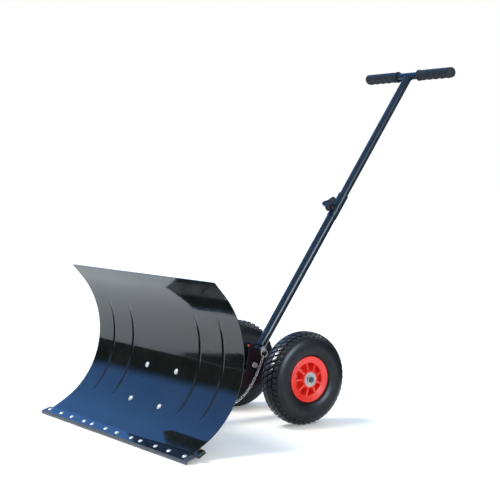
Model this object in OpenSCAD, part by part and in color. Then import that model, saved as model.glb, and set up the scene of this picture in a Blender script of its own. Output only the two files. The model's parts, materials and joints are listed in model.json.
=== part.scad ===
// Wheeled snow shovel: a bent blade on a two-wheeled chassis, pushed by a
// telescoping T-handle. The blade swings on a kingpin, and the pole's lean is
// held by a clamp bolt in an arc slot.
// +X is the object's left-to-right axis, the blade faces -Y, +Z is up, and the
// wheels and the wear strip stand on z = 0.

/* [Blade] */
// Width of the blade sheet
blade_w = 740; // [600:10:900]
// Thickness of the blade sheet
sheet_t = 1.8; // [1.5:0.1:2.5]
// Inner radius of the blade's curve
blade_r = 233.5; // [225:0.5:240]
// Length of the flat lip at the bottom of the sheet
lip_len = 31.1; // [29:0.1:34]
// Slope of the lip above the floor, in degrees
lip_slope = 16.3; // [14:0.1:18]
// Length of the straight run above the lip
ramp_len = 37.8; // [34:0.1:42]
// Slope of the straight run above the floor, in degrees
ramp_slope = 29.6; // [28:0.1:31]
// Length of the straight run at the blade's top
top_len = 42.8; // [20:0.1:60]
// Direction of the straight run at the blade's top, in degrees
top_slope = 131.9; // [120:0.1:140]
// Distances of the pressed ribs from the middle
rib_x = [172, 280]; // [100:1:320]
// How far the wear strip sticks out past each side of the sheet, and the stiffener past its right
strip_overhang = 19.5; // [5:0.5:25]
// Distances of the wear strip's bolts from the middle
strip_bolt_x = [30.5, 106, 152, 226, 289, 361]; // [20:0.5:365]

/* [Blade mount] */
// Distance of the two mount straps from the middle
strap_x = 75; // [60:1:100]
// Width of a mount strap
strap_w = 40; // [30:1:50]
// Distance of the kingpin in front of the axle
kingpin_ahead = 300; // [290:1:310]
// Radius of the swing slot round the kingpin
swing_slot_r = 45; // [42:1:48]
// Swing of the blade to each side, in degrees
swing_limit = 30; // [15:1:30]

/* [Chassis] */
// Outer side of the square arm
arm_side = 40; // [36:1:44]
// Height of the arm's top face
arm_top = 134; // [130:1:136]
// Diameter of the axle shaft
axle_d = 17; // [16:0.5:17]
// Outer diameter of the axle tube
axle_tube_d = 30; // [26:1:34]
// Distance between the middles of the two tyres
track = 325.8; // [310:0.2:360]

/* [Wheels] */
// Outer diameter of a tyre
tyre_d = 260; // [250:1:270]
// Width of a tyre
tyre_w = 81; // [80:1:90]
// Number of ribs in a rim
rim_ribs = 9; // [6:1:10]

/* [Pole and handle] */
// Lean of the pole from upright, in degrees
pole_lean = 35.3; // [25:0.1:45]
// Length from the pole's pivot to the crossbar
pole_len = 1036; // [950:1:1100]
// Outer diameter of the lower tube
lower_tube_d = 28; // [27.5:0.5:29]
// Outer diameter of the upper tube
upper_tube_d = 25; // [22:0.5:25]
// Width of the whole T-handle
handle_w = 378; // [360:1:440]
// Outer diameter of the crossbar
crossbar_d = 22; // [20:0.5:24]
// Outer diameter of a grip
grip_d = 33; // [30:0.5:36]
// Diameter over the lobes of the clamp knob
knob_d = 54; // [44:1:58]

/* [Chain] */
// Distance of the chain's plane to the right of the middle
chain_x = 25; // [25:0.5:28]
// Inner length of a chain link
link_len = 10; // [10:0.1:10]
// Diameter of a chain link's wire
link_wire = 2.2; // [1.8:0.1:2.2]
// Outer width of a chain link
link_w = 8; // [8:0.1:8.6]
// Number of links
link_count = 30; // [28:2:30]

/* [Hidden] */

$fn = 96;
curve_fn = 180;            // segments of the blade's large curve
gap = 0.3;                 // clearance between bodies that move past each other
fit_gap = 0.05;            // radial clearance of a shaft in its hole
eps = 0.01;

// unit vectors in the side view: along a slope, and square to it on the back
function along(a) = [cos(a), sin(a)];
function behind(a) = [sin(a), -cos(a)];

// side view of the blade, as [y, z] from the axle
axle_z = tyre_d / 2;
blade_tip = [-527.5, 11.3];
blade_bend = blade_tip + lip_len * along(lip_slope);
curve_start = blade_bend + ramp_len * along(ramp_slope);
curve_centre = curve_start - blade_r * behind(ramp_slope);
curve_end = curve_centre + blade_r * behind(top_slope);
blade_top = curve_end + top_len * along(top_slope);
bend_bisector = (behind(lip_slope) + behind(ramp_slope))
    / (1 + behind(lip_slope) * behind(ramp_slope));
back_r = blade_r + sheet_t;

// pressed ribs: a groove in the front that bulges out of the back
rib_from = 42;             // direction of the curve where a rib starts
rib_to = 112;              // and where it ends
rib_groove_r = 9;
rib_bulge_r = rib_groove_r + sheet_t;
rib_centre_r = blade_r - 7.8;
section_lap = 1;           // degrees that the sections of the sheet run into each other

// wear strip, its bolts and the stiffener bar
strip_w = blade_w + 2 * strip_overhang;
strip_t = 3;
strip_web = 29;
strip_leg_t = 3.2;
strip_leg_top = 8.4;
strip_bolt_along = 14;     // bolt row, measured back from the lip's edge
strip_bolt_r = 3;
bar_thick = 10;
bar_deep = 24;
bar_along = 1.2;           // gap between the bend and the bar
bar_w = (strip_w + blade_w) / 2;    // flush with the sheet on the left

// blade mount
strap_t = 4;
strap_back_r = back_r + strap_t;
strap_from = 40;
strap_to = 78;
mount_bolt_at = [46.3, 71.6];
mount_bolt_r = 4;
head_lift = 0.2;           // keeps a flat head clear of the hollow sheet
plate_t = 5;
plate_half = 95;
plate_nose_r = 22;
plate_rear_r = 60;
swing_bolt_r = 5;
kingpin_r = 8;
kingpin_y = -kingpin_ahead;
plate_top_z = arm_top + gap;
plate_bottom_z = arm_top - arm_side - gap - plate_t;
boss_r = 19;
kingpin_head = plate_top_z + plate_t + gap;
kingpin_foot = plate_bottom_z - 14;

// axle and wheels
wheel_x = track / 2;
hub_half = 34;
shaft_past_hub = 5;
shaft_half = wheel_x + hub_half + shaft_past_hub;
washer_t = 3;
tube_half = wheel_x - hub_half - washer_t - 2 * gap;
rim_r = 63.7;
bead_r = 50;
bearing_r = 20;
pocket_out_r = 44;
pocket_in_r = 28;
bearing_w = 12;
rim_half_w = 31;
tyre_wall = 8;

// pole: the pivot's place, and stations along the pole from the pivot
pivot = [-62, 152.7];
tilt_bolt_at = 52;
tilt_back = 20;            // degrees of slot behind the resting lean
tilt_front = 30;           // degrees of slot in front of it
bolt_r = 4;
bracket_r = 62;
cheek_in = lower_tube_d / 2 + 0.8;
cheek_t = 4;
cheek_out = cheek_in + cheek_t;
base_t = 4;
foot_r = 13.5;
lower_tube_end = 588;
collar_from = 510;
collar_r = lower_tube_d / 2 + 1.2;
knob_at = 534;
upper_tube_from = 340;
lower_bore_r = upper_tube_d / 2 + fit_gap;
tilt_bolt_y = pivot[0] + tilt_bolt_at * sin(pole_lean);
tilt_bolt_z = pivot[1] + tilt_bolt_at * cos(pole_lean);

// handle
grip_len = 144;
grip_flange_r = grip_d / 2 + 1;
grip_in = handle_w / 2 - grip_len;

// ring and chain: the chain hangs in a catenary below the ring
ring_r = 10.5;
ring_wire_r = 1.5;
ring_centre = [tilt_bolt_y, tilt_bolt_z - ring_r];
catenary_a = 76;
catenary_low = [-160.6, 47.6];
link_pitch = link_len - 0.3;
link_bend_r = (link_w - link_wire) / 2;
link_straight = link_len + link_wire - 2 * link_bend_r;
first_link_s = 185.3;      // from the low point to the first link's middle
anchor_r = 1.6;
anchor_s = first_link_s - (link_count - 1) * link_pitch - (link_len / 2 - anchor_r - 0.2);

function asinh(v) = ln(v + sqrt(v * v + 1));
function cosh(v) = (exp(v) + exp(-v)) / 2;
// point and slope of the hanging chain at length s from its low point
function chain_point(s) = [
    catenary_low[0] + catenary_a * asinh(s / catenary_a),
    catenary_low[1] + catenary_a * (cosh(asinh(s / catenary_a)) - 1)
];
function chain_slope(s) = atan(s / catenary_a);

// the row's origin is under the middle of the box, so the axle is off centre
front_reach = -blade_tip[0];
rear_reach = pivot[0] + pole_len * sin(pole_lean) + grip_flange_r;
axle_y = (front_reach - rear_reach) / 2;

// ---------------------------------------------------------------- helpers

// everything below is drawn with the axle over y = 0
module at_axle() translate([0, axle_y, 0]) children();

// a side-view outline [y, z] made w wide across X
module across(w) rotate([90, 0, 90]) linear_extrude(w, center = true) children();

// the curve's own frame: its axis along X, directions of the sheet as angles
module at_curve() translate([0, curve_centre[0], curve_centre[1]]) children();

// a place on the curve's front face, with +Z pointing into the sheet's back
module on_curve(x, a)
    translate([x, curve_centre[0], curve_centre[1]])
    rotate([a, 0, 0]) translate([0, 0, -blade_r]) rotate([180, 0, 0]) children();

// a place on the lip's front face, with +Z standing up out of the sheet
module on_lip(x, s)
    translate([x, blade_tip[0], blade_tip[1]])
    rotate([lip_slope, 0, 0]) translate([0, s, 0]) children();

module at_pole() translate([0, pivot[0], pivot[1]]) rotate([-pole_lean, 0, 0]) children();

module at_wheel(side) translate([side * wheel_x, 0, axle_z]) rotate([0, side * 90, 0]) children();

module x_rod(r, x0, x1) translate([x0, 0, 0]) rotate([0, 90, 0]) cylinder(h = x1 - x0, r = r);

module ring(r_out, r_in, h) difference() {
    cylinder(h = h, r = r_out);
    translate([0, 0, -1]) cylinder(h = h + 2, r = r_in);
}

module hex_nut(flats, bore, h) difference() {
    cylinder(h = h, r = flats / sqrt(3), $fn = 6);
    translate([0, 0, -1]) cylinder(h = h + 2, r = bore);
}

// a sector of a flat ring between two polar angles
module ring_sector(r_in, r_out, a0, a1) intersection() {
    difference() {
        circle(r_out, $fn = curve_fn);
        circle(r_in, $fn = curve_fn);
    }
    polygon([
        [0, 0],
        2 * r_out * along(a0),
        2 * r_out * along((a0 + a1) / 2),
        2 * r_out * along(a1)
    ]);
}

// an arc slot with round ends
module arc_slot(r, half_width, a0, a1) {
    ring_sector(r - half_width, r + half_width, a0, a1);
    for (a = [a0, a1]) translate(r * along(a)) circle(half_width);
}

// a low domed head: the cap of a ball
module dome_head(r, h) intersection() {
    translate([0, 0, h - (r * r + h * h) / (2 * h)]) sphere((r * r + h * h) / (2 * h));
    cylinder(h = h + 1, r = r);
}

// ------------------------------------------------------------------ blade

// side view of the sheet below its ribs: lip, ramp and the start of the curve
module lower_profile() {
    polygon([
        blade_tip, blade_bend, curve_start,
        curve_start + sheet_t * behind(ramp_slope),
        blade_bend + sheet_t * bend_bisector,
        blade_tip + sheet_t * behind(lip_slope)
    ]);
    translate(curve_centre)
        ring_sector(blade_r, back_r, ramp_slope - 90, rib_from + section_lap - 90);
}

// side view of the sheet above its ribs: the end of the curve and the top run
module upper_profile() {
    translate(curve_centre)
        ring_sector(blade_r, back_r, rib_to - section_lap - 90, top_slope - 90);
    polygon([
        curve_end, blade_top,
        blade_top + sheet_t * behind(top_slope),
        curve_end + sheet_t * behind(top_slope)
    ]);
}

// a section across the ribs, as [radius, x]
module ribbed_section() difference() {
    union() {
        translate([blade_r, -blade_w / 2]) square([sheet_t, blade_w]);
        intersection() {
            for (x = rib_x, side = [-1, 1]) translate([rib_centre_r, side * x]) circle(rib_bulge_r, $fn = 48);
            translate([blade_r + sheet_t / 2, -blade_w / 2]) square([rib_bulge_r, blade_w]);
        }
    }
    for (x = rib_x, side = [-1, 1]) translate([rib_centre_r, side * x]) circle(rib_groove_r, $fn = 48);
}

// the ribbed stretch, swept away from where the sheet stands upright
module ribbed_stretch(to) at_curve() rotate([0, 90, 0]) rotate([0, 0, 90])
    rotate_extrude(angle = to - 90, $fn = curve_fn) ribbed_section();

module blade_sheet() color([0.06, 0.07, 0.09]) at_axle() difference() {
    union() {
        across(blade_w) lower_profile();
        ribbed_stretch(rib_from);
        ribbed_stretch(rib_to);
        across(blade_w) upper_profile();
    }
    for (x = strip_bolt_x, side = [-1, 1])
        on_lip(side * x, strip_bolt_along) cylinder(h = 30, r = strip_bolt_r + fit_gap, center = true);
    for (a = mount_bolt_at, side = [-1, 1])
        on_curve(side * strap_x, a) cylinder(h = 30, r = mount_bolt_r + fit_gap, center = true);
}

module wear_strip() color([0.2, 0.2, 0.22]) at_axle() difference() {
    across(strip_w) {
        translate(blade_tip) rotate(lip_slope)
            translate([0, -sheet_t - strip_t]) square([strip_web, strip_t]);
        translate([blade_tip[0], 0]) square([strip_leg_t, strip_leg_top]);
    }
    for (x = strip_bolt_x, side = [-1, 1])
        on_lip(side * x, strip_bolt_along) cylinder(h = 30, r = strip_bolt_r + fit_gap, center = true);
}

module stiffener_bar() color([0.06, 0.07, 0.09]) at_axle()
    translate([(strip_w - bar_w) / 2, 0, 0]) across(bar_w) translate(blade_bend) rotate(ramp_slope)
    translate([bar_along, -sheet_t - bar_thick]) square([bar_deep, bar_thick]);

module strip_bolts() color("silver") at_axle()
    for (x = strip_bolt_x, side = [-1, 1]) on_lip(side * x, strip_bolt_along) {
        dome_head(6.5, 3.2);
        translate([0, 0, -11]) cylinder(h = 11 + eps, r = strip_bolt_r);
    }

module strip_nuts() color("silver") at_axle()
    for (x = strip_bolt_x, side = [-1, 1]) on_lip(side * x, strip_bolt_along)
        translate([0, 0, -sheet_t - strip_t - 5]) hex_nut(10, strip_bolt_r, 5);

// ------------------------------------------------------------ blade mount

module mount_strap(side) color([0.08, 0.08, 0.1]) at_axle() difference() {
    translate([side * strap_x, 0, 0]) across(strap_w) translate(curve_centre)
        ring_sector(back_r, strap_back_r, strap_from - 90, strap_to - 90);
    for (a = mount_bolt_at)
        on_curve(side * strap_x, a) cylinder(h = 30, r = mount_bolt_r + fit_gap, center = true);
}

module mount_strap_left() mount_strap(-1);
module mount_strap_right() mount_strap(1);

module mount_bolts() color("silver") at_axle()
    for (a = mount_bolt_at, side = [-1, 1]) on_curve(side * strap_x, a) {
        translate([0, 0, -head_lift]) rotate([180, 0, 0]) dome_head(8, 4);
        translate([0, 0, -head_lift - eps]) cylinder(h = 17, r = mount_bolt_r);
    }

module mount_nuts() color("silver") at_axle()
    for (a = mount_bolt_at, side = [-1, 1]) on_curve(side * strap_x, a)
        translate([0, 0, sheet_t + strap_t]) {
            ring(8.5, mount_bolt_r + 0.2, 1.6);
            translate([0, 0, 1.6]) hex_nut(13, mount_bolt_r, 6.5);
        }

// flat plate between the straps and the kingpin, seen from above
module yoke_outline() {
    polygon([
        [-plate_half, curve_centre[0]], [plate_half, curve_centre[0]],
        [plate_half, kingpin_y - 75],
        [plate_nose_r, kingpin_y], [-plate_nose_r, kingpin_y],
        [-plate_half, kingpin_y - 75]
    ]);
    translate([0, kingpin_y]) circle(plate_nose_r);
}

// both plates end on the backs of the straps
module clear_of_straps() difference() {
    children();
    at_curve() x_rod(strap_back_r, -plate_half - 1, plate_half + 1, $fn = curve_fn);
}

module yoke_top_plate() color([0.08, 0.08, 0.1]) at_axle() clear_of_straps()
    translate([0, 0, plate_top_z]) linear_extrude(plate_t) difference() {
        union() {
            yoke_outline();
            translate([0, kingpin_y])
                ring_sector(plate_nose_r / 2, plate_rear_r, 90 - swing_limit - 18, 90 + swing_limit + 18);
        }
        translate([0, kingpin_y]) {
            circle(kingpin_r + fit_gap);
            arc_slot(swing_slot_r, swing_bolt_r + gap, 90 - swing_limit - 1, 90 + swing_limit + 1);
        }
    }

module yoke_bottom_plate() color([0.08, 0.08, 0.1]) at_axle() clear_of_straps()
    translate([0, 0, plate_bottom_z]) linear_extrude(plate_t) difference() {
        yoke_outline();
        translate([0, kingpin_y]) circle(kingpin_r + fit_gap);
    }

// ---------------------------------------------------------------- chassis

module arm() color([0.08, 0.08, 0.1]) at_axle() difference() {
    translate([-arm_side / 2, kingpin_y, arm_top - arm_side]) cube([arm_side, kingpin_ahead, arm_side]);
    translate([-arm_side / 2 + 3, kingpin_y - 1, arm_top - arm_side + 3])
        cube([arm_side - 6, kingpin_ahead + 2, arm_side - 6]);
    translate([0, 0, axle_z]) x_rod(axle_tube_d / 2, -arm_side, arm_side);
    translate([-arm_side, 0, 0]) cube([2 * arm_side, arm_side, 2 * arm_top]);
    translate([0, kingpin_y, 0]) cylinder(h = 2 * arm_top, r = boss_r);
    translate([-arm_side, kingpin_y - arm_side, 0]) cube([2 * arm_side, arm_side, 2 * arm_top]);
    translate([0, kingpin_y + swing_slot_r, 0]) cylinder(h = 2 * arm_top, r = swing_bolt_r + fit_gap);
}

module kingpin_boss() color([0.08, 0.08, 0.1]) at_axle()
    translate([0, kingpin_y, arm_top - arm_side]) ring(boss_r, kingpin_r + fit_gap, arm_side);

module kingpin() color("silver") at_axle() translate([0, kingpin_y, 0]) {
    translate([0, 0, kingpin_foot]) cylinder(h = kingpin_head - kingpin_foot, r = kingpin_r);
    translate([0, 0, kingpin_head]) {
        cylinder(h = 3, r = 15);
        translate([0, 0, 3]) cylinder(h = 10, r = 24 / sqrt(3), $fn = 6);
    }
}

module kingpin_nut() color("silver") at_axle()
    translate([0, kingpin_y, plate_bottom_z - gap - 13]) hex_nut(24, kingpin_r, 13);

module swing_clamp_bolt() color("silver") at_axle() translate([0, kingpin_y + swing_slot_r, 0]) {
    translate([0, 0, arm_top - arm_side - 6]) cylinder(h = 6, r = 17 / sqrt(3), $fn = 6);
    translate([0, 0, arm_top - arm_side]) cylinder(h = arm_side + gap + plate_t + 13, r = swing_bolt_r);
}

module swing_clamp_nut() color("silver") at_axle()
    translate([0, kingpin_y + swing_slot_r, plate_top_z + plate_t + gap]) {
        ring(10, swing_bolt_r, 2);
        translate([0, 0, 2]) hex_nut(17, swing_bolt_r, 8);
    }

module axle_tube() color([0.08, 0.08, 0.1]) at_axle() translate([0, 0, axle_z]) difference() {
    x_rod(axle_tube_d / 2, -tube_half, tube_half);
    x_rod(axle_d / 2 + fit_gap, -tube_half - 1, tube_half + 1);
}

module axle_shaft() color([0.15, 0.15, 0.17]) at_axle() translate([0, 0, axle_z]) difference() {
    x_rod(axle_d / 2, -shaft_half, shaft_half);
    for (side = [-1, 1]) translate([side * (shaft_half - 3.4), 0, 0]) rotate([0, 90, 0])
        translate([0, 0, -0.6]) ring(axle_d, axle_d / 2 - 0.7, 1.2);
}

module axle_washers() color("silver") at_axle()
    for (side = [-1, 1]) at_wheel(side)
        translate([0, 0, -hub_half - gap - washer_t]) ring(14, axle_d / 2 + fit_gap, washer_t);

module axle_circlips() color("silver") at_axle()
    for (side = [-1, 1]) at_wheel(side)
        translate([0, 0, hub_half + shaft_past_hub - 3.4 - 0.5]) difference() {
            ring(axle_d / 2 + 2.4, axle_d / 2 - 0.6, 1);
            translate([0, -1.5, -1]) cube([axle_d, 3, 3]);
        }

// side cheek of the pole bracket: round over the pivot, square down to the base
module cheek_outline() difference() {
    union() {
        translate(pivot) intersection() {
            circle(bracket_r);
            polygon([[0, 0], 90 * along(20), 90 * along(60), 90 * along(104)]);
        }
        polygon([
            [-92, arm_top], [-20, arm_top],
            pivot + bracket_r * along(20),
            pivot + bracket_r / 2 * along(62),
            pivot + bracket_r * along(104)
        ]);
    }
    translate(pivot) {
        circle(bolt_r + fit_gap);
        arc_slot(tilt_bolt_at, bolt_r + gap, 90 - pole_lean - tilt_back - 1, 90 - pole_lean + tilt_front + 1);
    }
}

module pole_bracket() color([0.08, 0.08, 0.1]) at_axle() difference() {
    across(2 * cheek_out) cheek_outline();
    translate([-cheek_in, -bracket_r * 3, arm_top + base_t])
        cube([2 * cheek_in, bracket_r * 6, bracket_r * 3]);
}

module pivot_bolt() color("silver") at_axle() translate([0, pivot[0], pivot[1]]) {
    x_rod(bolt_r, -cheek_out - 11, cheek_out + 2);
    translate([cheek_out + 1.6, 0, 0]) rotate([0, 90, 0]) cylinder(h = 5.3, r = 13 / sqrt(3), $fn = 6);
}

module pivot_nut() color("silver") at_axle() translate([0, pivot[0], pivot[1]]) {
    translate([cheek_out, 0, 0]) rotate([0, 90, 0]) ring(8, bolt_r + 0.2, 1.6);
    translate([-cheek_out, 0, 0]) rotate([0, -90, 0]) {
        ring(8, bolt_r + 0.2, 1.6);
        translate([0, 0, 1.6]) hex_nut(13, bolt_r, 6.5);
    }
}

module chain_anchor() color("silver") at_axle()
    translate([0, chain_point(anchor_s)[0], chain_point(anchor_s)[1]]) {
        x_rod(anchor_r, arm_side / 2, chain_x + 6);
        x_rod(4.5, chain_x + 6, chain_x + 8);
    }

// one link, lying in the XY plane with its length along X
module link() {
    for (side = [-1, 1]) {
        translate([side * link_straight / 2, 0, 0]) rotate([0, 0, -side * 90])
            rotate_extrude(angle = 180, $fn = 48)
            translate([link_bend_r, 0]) circle(link_wire / 2, $fn = 24);
        translate([-link_straight / 2, side * link_bend_r, 0]) rotate([0, 90, 0])
            cylinder(h = link_straight, r = link_wire / 2, $fn = 24);
    }
}

module chain() color("silver") at_axle()
    for (i = [0 : link_count - 1]) {
        s = first_link_s - i * link_pitch;
        translate([chain_x, chain_point(s)[0], chain_point(s)[1]])
            rotate([chain_slope(s), 0, 0]) rotate([0, (i % 2) * 90, 0])
            rotate([0, 0, 90]) link();
    }

// ----------------------------------------------------------------- wheels

// a tyre's section, as [radius, axial] points on one side of its middle
tyre_steps = 10;
crown_half = 4;
widest_r = 92;
// from the crown round to the sidewall, a wall of shrink inside the tyre's face
function crown_curve(shrink) = [for (i = [0 : tyre_steps]) let (a = 90 * i / tyre_steps) [
    widest_r + (tyre_d / 2 - widest_r - shrink) * cos(a),
    crown_half + (tyre_w / 2 - crown_half - shrink) * sin(a)
]];
tyre_face = concat(crown_curve(0), [
    [74, 36], [66, 31], [63.9, 28.2], [bead_r + 3, 24.2], [bead_r + 0.1, 21.8], [bead_r + 0.1, 17]
]);
tyre_lining = concat(crown_curve(tyre_wall), [[74, 28], [66, 22], [58, 16.5]]);
function inner_tube_half(shrink) = concat(crown_curve(tyre_wall + 0.5 + shrink), [
    [73.5, 26.8 - shrink], [65.5, 20.8 - shrink], [58, 15.3 - shrink], [bead_r + 1 + shrink, 15.3 - shrink]
]);
function backwards(points) = [for (i = [len(points) - 1 : -1 : 0]) points[i]];
function other_side(points) = [for (p = points) [p[0], -p[1]]];

module tyre(side) color([0.05, 0.05, 0.055]) at_axle() at_wheel(side) rotate_extrude() polygon(concat(
    backwards(other_side(tyre_face)), tyre_face,
    backwards(tyre_lining), other_side(tyre_lining)
));

// the valve stem passes through the barrel into one of the rim's pockets
valve_at = 12;
valve_r = 3;
module at_valve(r) rotate([0, 0, rib_turn + 6.5 * 360 / rim_ribs])
    translate([r, 0, -valve_at]) rotate([0, -90, 0]) children();

module inner_tube(side) color([0.1, 0.1, 0.1]) at_axle() at_wheel(side) {
    rotate_extrude() difference() {
        polygon(concat(inner_tube_half(0), backwards(other_side(inner_tube_half(0)))));
        polygon(concat(inner_tube_half(1.5), backwards(other_side(inner_tube_half(1.5)))));
    }
    at_valve(bead_r + 1.8) cylinder(h = 17, r = valve_r);
}

// one half of a rim; z = 0 is the joint between the halves
module rim_half() difference() {
    rotate_extrude() polygon([
        [12, 0], [12, hub_half - bearing_w], [bearing_r, hub_half - bearing_w],
        [bearing_r, hub_half], [24.5, hub_half], [27, 29], [45, 27.5],
        [61, rim_half_w], [rim_r, 30.5], [rim_r, 28.5], [bead_r + 3, 24.5],
        [bead_r, 22], [bead_r, 0]
    ]);
    // pockets between the ribs
    for (i = [0 : rim_ribs - 1]) rotate([0, 0, (i + 0.5) * 360 / rim_ribs])
        translate([0, 0, 8]) linear_extrude(40) intersection() {
            difference() {
                circle(pocket_out_r);
                circle(pocket_in_r);
            }
            polygon([
                [5, 0],
                [70, 65 * tan(180 / rim_ribs)],
                [70, -65 * tan(180 / rim_ribs)]
            ]);
        }
}

// the rims' screws sit in every third pocket
module rim_screw_places() for (i = [0 : 2])
    rotate([0, 0, (3 * i + 1.5) * 360 / rim_ribs]) translate([36, 0, 0]) children();

rib_turn = -90;            // a rib points forward

module rim_outer(side) color([0.85, 0.1, 0.08]) at_axle() at_wheel(side) rotate([0, 0, rib_turn])
    difference() {
        rim_half();
        rim_screw_places() translate([0, 0, -1]) cylinder(h = 7, r = 2.5);
    }

module rim_inner(side) color([0.85, 0.1, 0.08]) at_axle() at_wheel(side) difference() {
    rotate([0, 0, rib_turn]) mirror([0, 0, 1]) difference() {
        rim_half();
        rim_screw_places() translate([0, 0, -1]) cylinder(h = 20, r = 2.5 + fit_gap);
    }
    at_valve(bead_r + 2) cylinder(h = 12, r = valve_r + 0.2);
}

module rim_screws(side) color("silver") at_axle() at_wheel(side) rotate([0, 0, rib_turn])
    rim_screw_places() {
        translate([0, 0, -8]) cylinder(h = 13, r = 2.5);
        translate([0, 0, -12]) cylinder(h = 4, r = 4.5);
    }

// ball bearing: two races with a groove, eight balls and a shield each side
module bearing() {
    pitch_r = (axle_d / 2 + bearing_r) / 2;
    ball_r = 3.4;
    rotate_extrude() difference() {
        union() {
            translate([axle_d / 2 + fit_gap, 0]) square([3, bearing_w]);
            translate([bearing_r - 3.2, 0]) square([3.1, bearing_w]);
        }
        translate([pitch_r, bearing_w / 2]) circle(ball_r + 0.1);
    }
    for (i = [0 : 7]) rotate([0, 0, 45 * i]) translate([pitch_r, 0, bearing_w / 2]) sphere(ball_r);
    for (z = [0.4, bearing_w - 1.2]) translate([0, 0, z])
        ring(bearing_r - 3.4, axle_d / 2 + 3.2, 0.8);
}

module bearings(side) color("silver") at_axle() at_wheel(side)
    for (z = [-hub_half, hub_half - bearing_w]) translate([0, 0, z]) bearing();

module tyre_left() tyre(-1);
module inner_tube_left() inner_tube(-1);
module rim_outer_left() rim_outer(-1);
module rim_inner_left() rim_inner(-1);
module rim_screws_left() rim_screws(-1);
module bearings_left() bearings(-1);
module tyre_right() tyre(1);
module inner_tube_right() inner_tube(1);
module rim_outer_right() rim_outer(1);
module rim_inner_right() rim_inner(1);
module rim_screws_right() rim_screws(1);
module bearings_right() bearings(1);

// ------------------------------------------------------------------- pole

// a rod out of the front of the pole, where the knob is
module knob_rod(r, reach) translate([0, 0, knob_at]) rotate([90, 0, 0]) cylinder(h = reach, r = r);

module lower_tube() color([0.08, 0.1, 0.15]) at_axle() at_pole() difference() {
    union() {
        cylinder(h = lower_tube_end, r = lower_tube_d / 2);
        intersection() {
            translate([0, 0, -foot_r]) cylinder(h = foot_r + 1, r = lower_tube_d / 2);
            x_rod(foot_r, -lower_tube_d, lower_tube_d);
        }
    }
    translate([0, 0, -foot_r - 1]) cylinder(h = lower_tube_end + foot_r + 2, r = lower_bore_r);
    x_rod(bolt_r + fit_gap, -lower_tube_d, lower_tube_d);
    translate([0, 0, tilt_bolt_at]) x_rod(bolt_r + fit_gap, -lower_tube_d, lower_tube_d);
    knob_rod(bolt_r + fit_gap, lower_tube_d);
}

module clamp_collar() color([0.08, 0.1, 0.15]) at_axle() at_pole() difference() {
    union() {
        translate([0, 0, collar_from]) cylinder(h = lower_tube_end - collar_from, r = collar_r);
        knob_rod(9, 20);
    }
    translate([0, 0, collar_from - 1]) cylinder(h = lower_tube_end, r = lower_tube_d / 2 + fit_gap / 2);
    knob_rod(bolt_r + fit_gap, 21);
}

module tilt_bolt() color("silver") at_axle() translate([0, tilt_bolt_y, tilt_bolt_z]) {
    x_rod(bolt_r, -cheek_out - 11, cheek_out + gap + 1);
    x_rod(9, cheek_out + gap, cheek_out + gap + 2);
    difference() {
        translate([cheek_out + gap + 2 - eps, -2.5, -5]) cube([chain_x + 5 - cheek_out - gap - 2, 5, 10]);
        translate([chain_x, -3, 0]) rotate([-90, 0, 0]) cylinder(h = 6, r = 2.3);
    }
}

module tilt_nut() color("silver") at_axle() translate([-cheek_out - gap, tilt_bolt_y, tilt_bolt_z])
    rotate([0, -90, 0]) {
        ring(9, bolt_r + 0.2, 1.6);
        translate([0, 0, 1.6]) hex_nut(13, bolt_r, 6.5);
    }

module chain_ring() color("silver") at_axle()
    translate([chain_x, ring_centre[0], ring_centre[1]]) rotate([0, 90, 0])
    rotate_extrude() translate([ring_r, 0]) circle(ring_wire_r, $fn = 32);

// ----------------------------------------------------------------- handle

module upper_tube() color([0.08, 0.1, 0.15]) at_axle() at_pole() difference() {
    translate([0, 0, upper_tube_from]) cylinder(h = pole_len - upper_tube_from, r = upper_tube_d / 2);
    translate([0, 0, upper_tube_from - 1]) cylinder(h = pole_len, r = upper_tube_d / 2 - 1.5);
    translate([0, 0, pole_len]) x_rod(crossbar_d / 2, -crossbar_d, crossbar_d);
}

module crossbar() color([0.08, 0.1, 0.15]) at_axle() at_pole() translate([0, 0, pole_len]) difference() {
    x_rod(crossbar_d / 2, -handle_w / 2 + 4, handle_w / 2 - 4);
    x_rod(crossbar_d / 2 - 1.5, -handle_w / 2, handle_w / 2);
}

// grip with a flange at its inner end and finger ridges, closed at its outer end
module grip(side) color([0.12, 0.12, 0.13]) at_axle() at_pole() translate([0, 0, pole_len])
    rotate([0, side * 90, 0]) translate([0, 0, grip_in]) difference() {
        rotate_extrude() {
            square([grip_d / 2 - 1, grip_len - 2]);
            square([grip_flange_r, 4]);
            for (i = [0 : 4]) translate([0, 9 + 27 * i]) square([grip_d / 2, 20]);
            translate([0, grip_len - 3]) square([grip_d / 2 - 3, 3]);
        }
        translate([0, 0, -1]) cylinder(h = grip_len - 2.9, r = crossbar_d / 2 + fit_gap / 2);
    }

module grip_left() grip(-1);
module grip_right() grip(1);

// ------------------------------------------------------------------- knob

module at_knob() at_axle() at_pole() translate([0, -20 - gap, knob_at]) rotate([90, 0, 0]) children();

// three-lobed knob on a tapered hub
module knob_body() color([0.12, 0.12, 0.13]) at_knob() difference() {
    union() {
        cylinder(h = 18, r = 11);
        for (i = [0 : 2]) rotate([0, 0, 180 + 120 * i]) {
            translate([knob_d / 2 - 6, 0, 6]) cylinder(h = 12, r = 6);
            translate([0, -4.5, 6]) cube([knob_d / 2 - 6, 9, 12]);
        }
    }
    translate([0, 0, -1]) cylinder(h = 14, r = bolt_r + fit_gap / 2);
}

module knob_stud() color("silver") at_knob()
    translate([0, 0, -20 + upper_tube_d / 2]) cylinder(h = 32 - upper_tube_d / 2, r = bolt_r);

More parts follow.
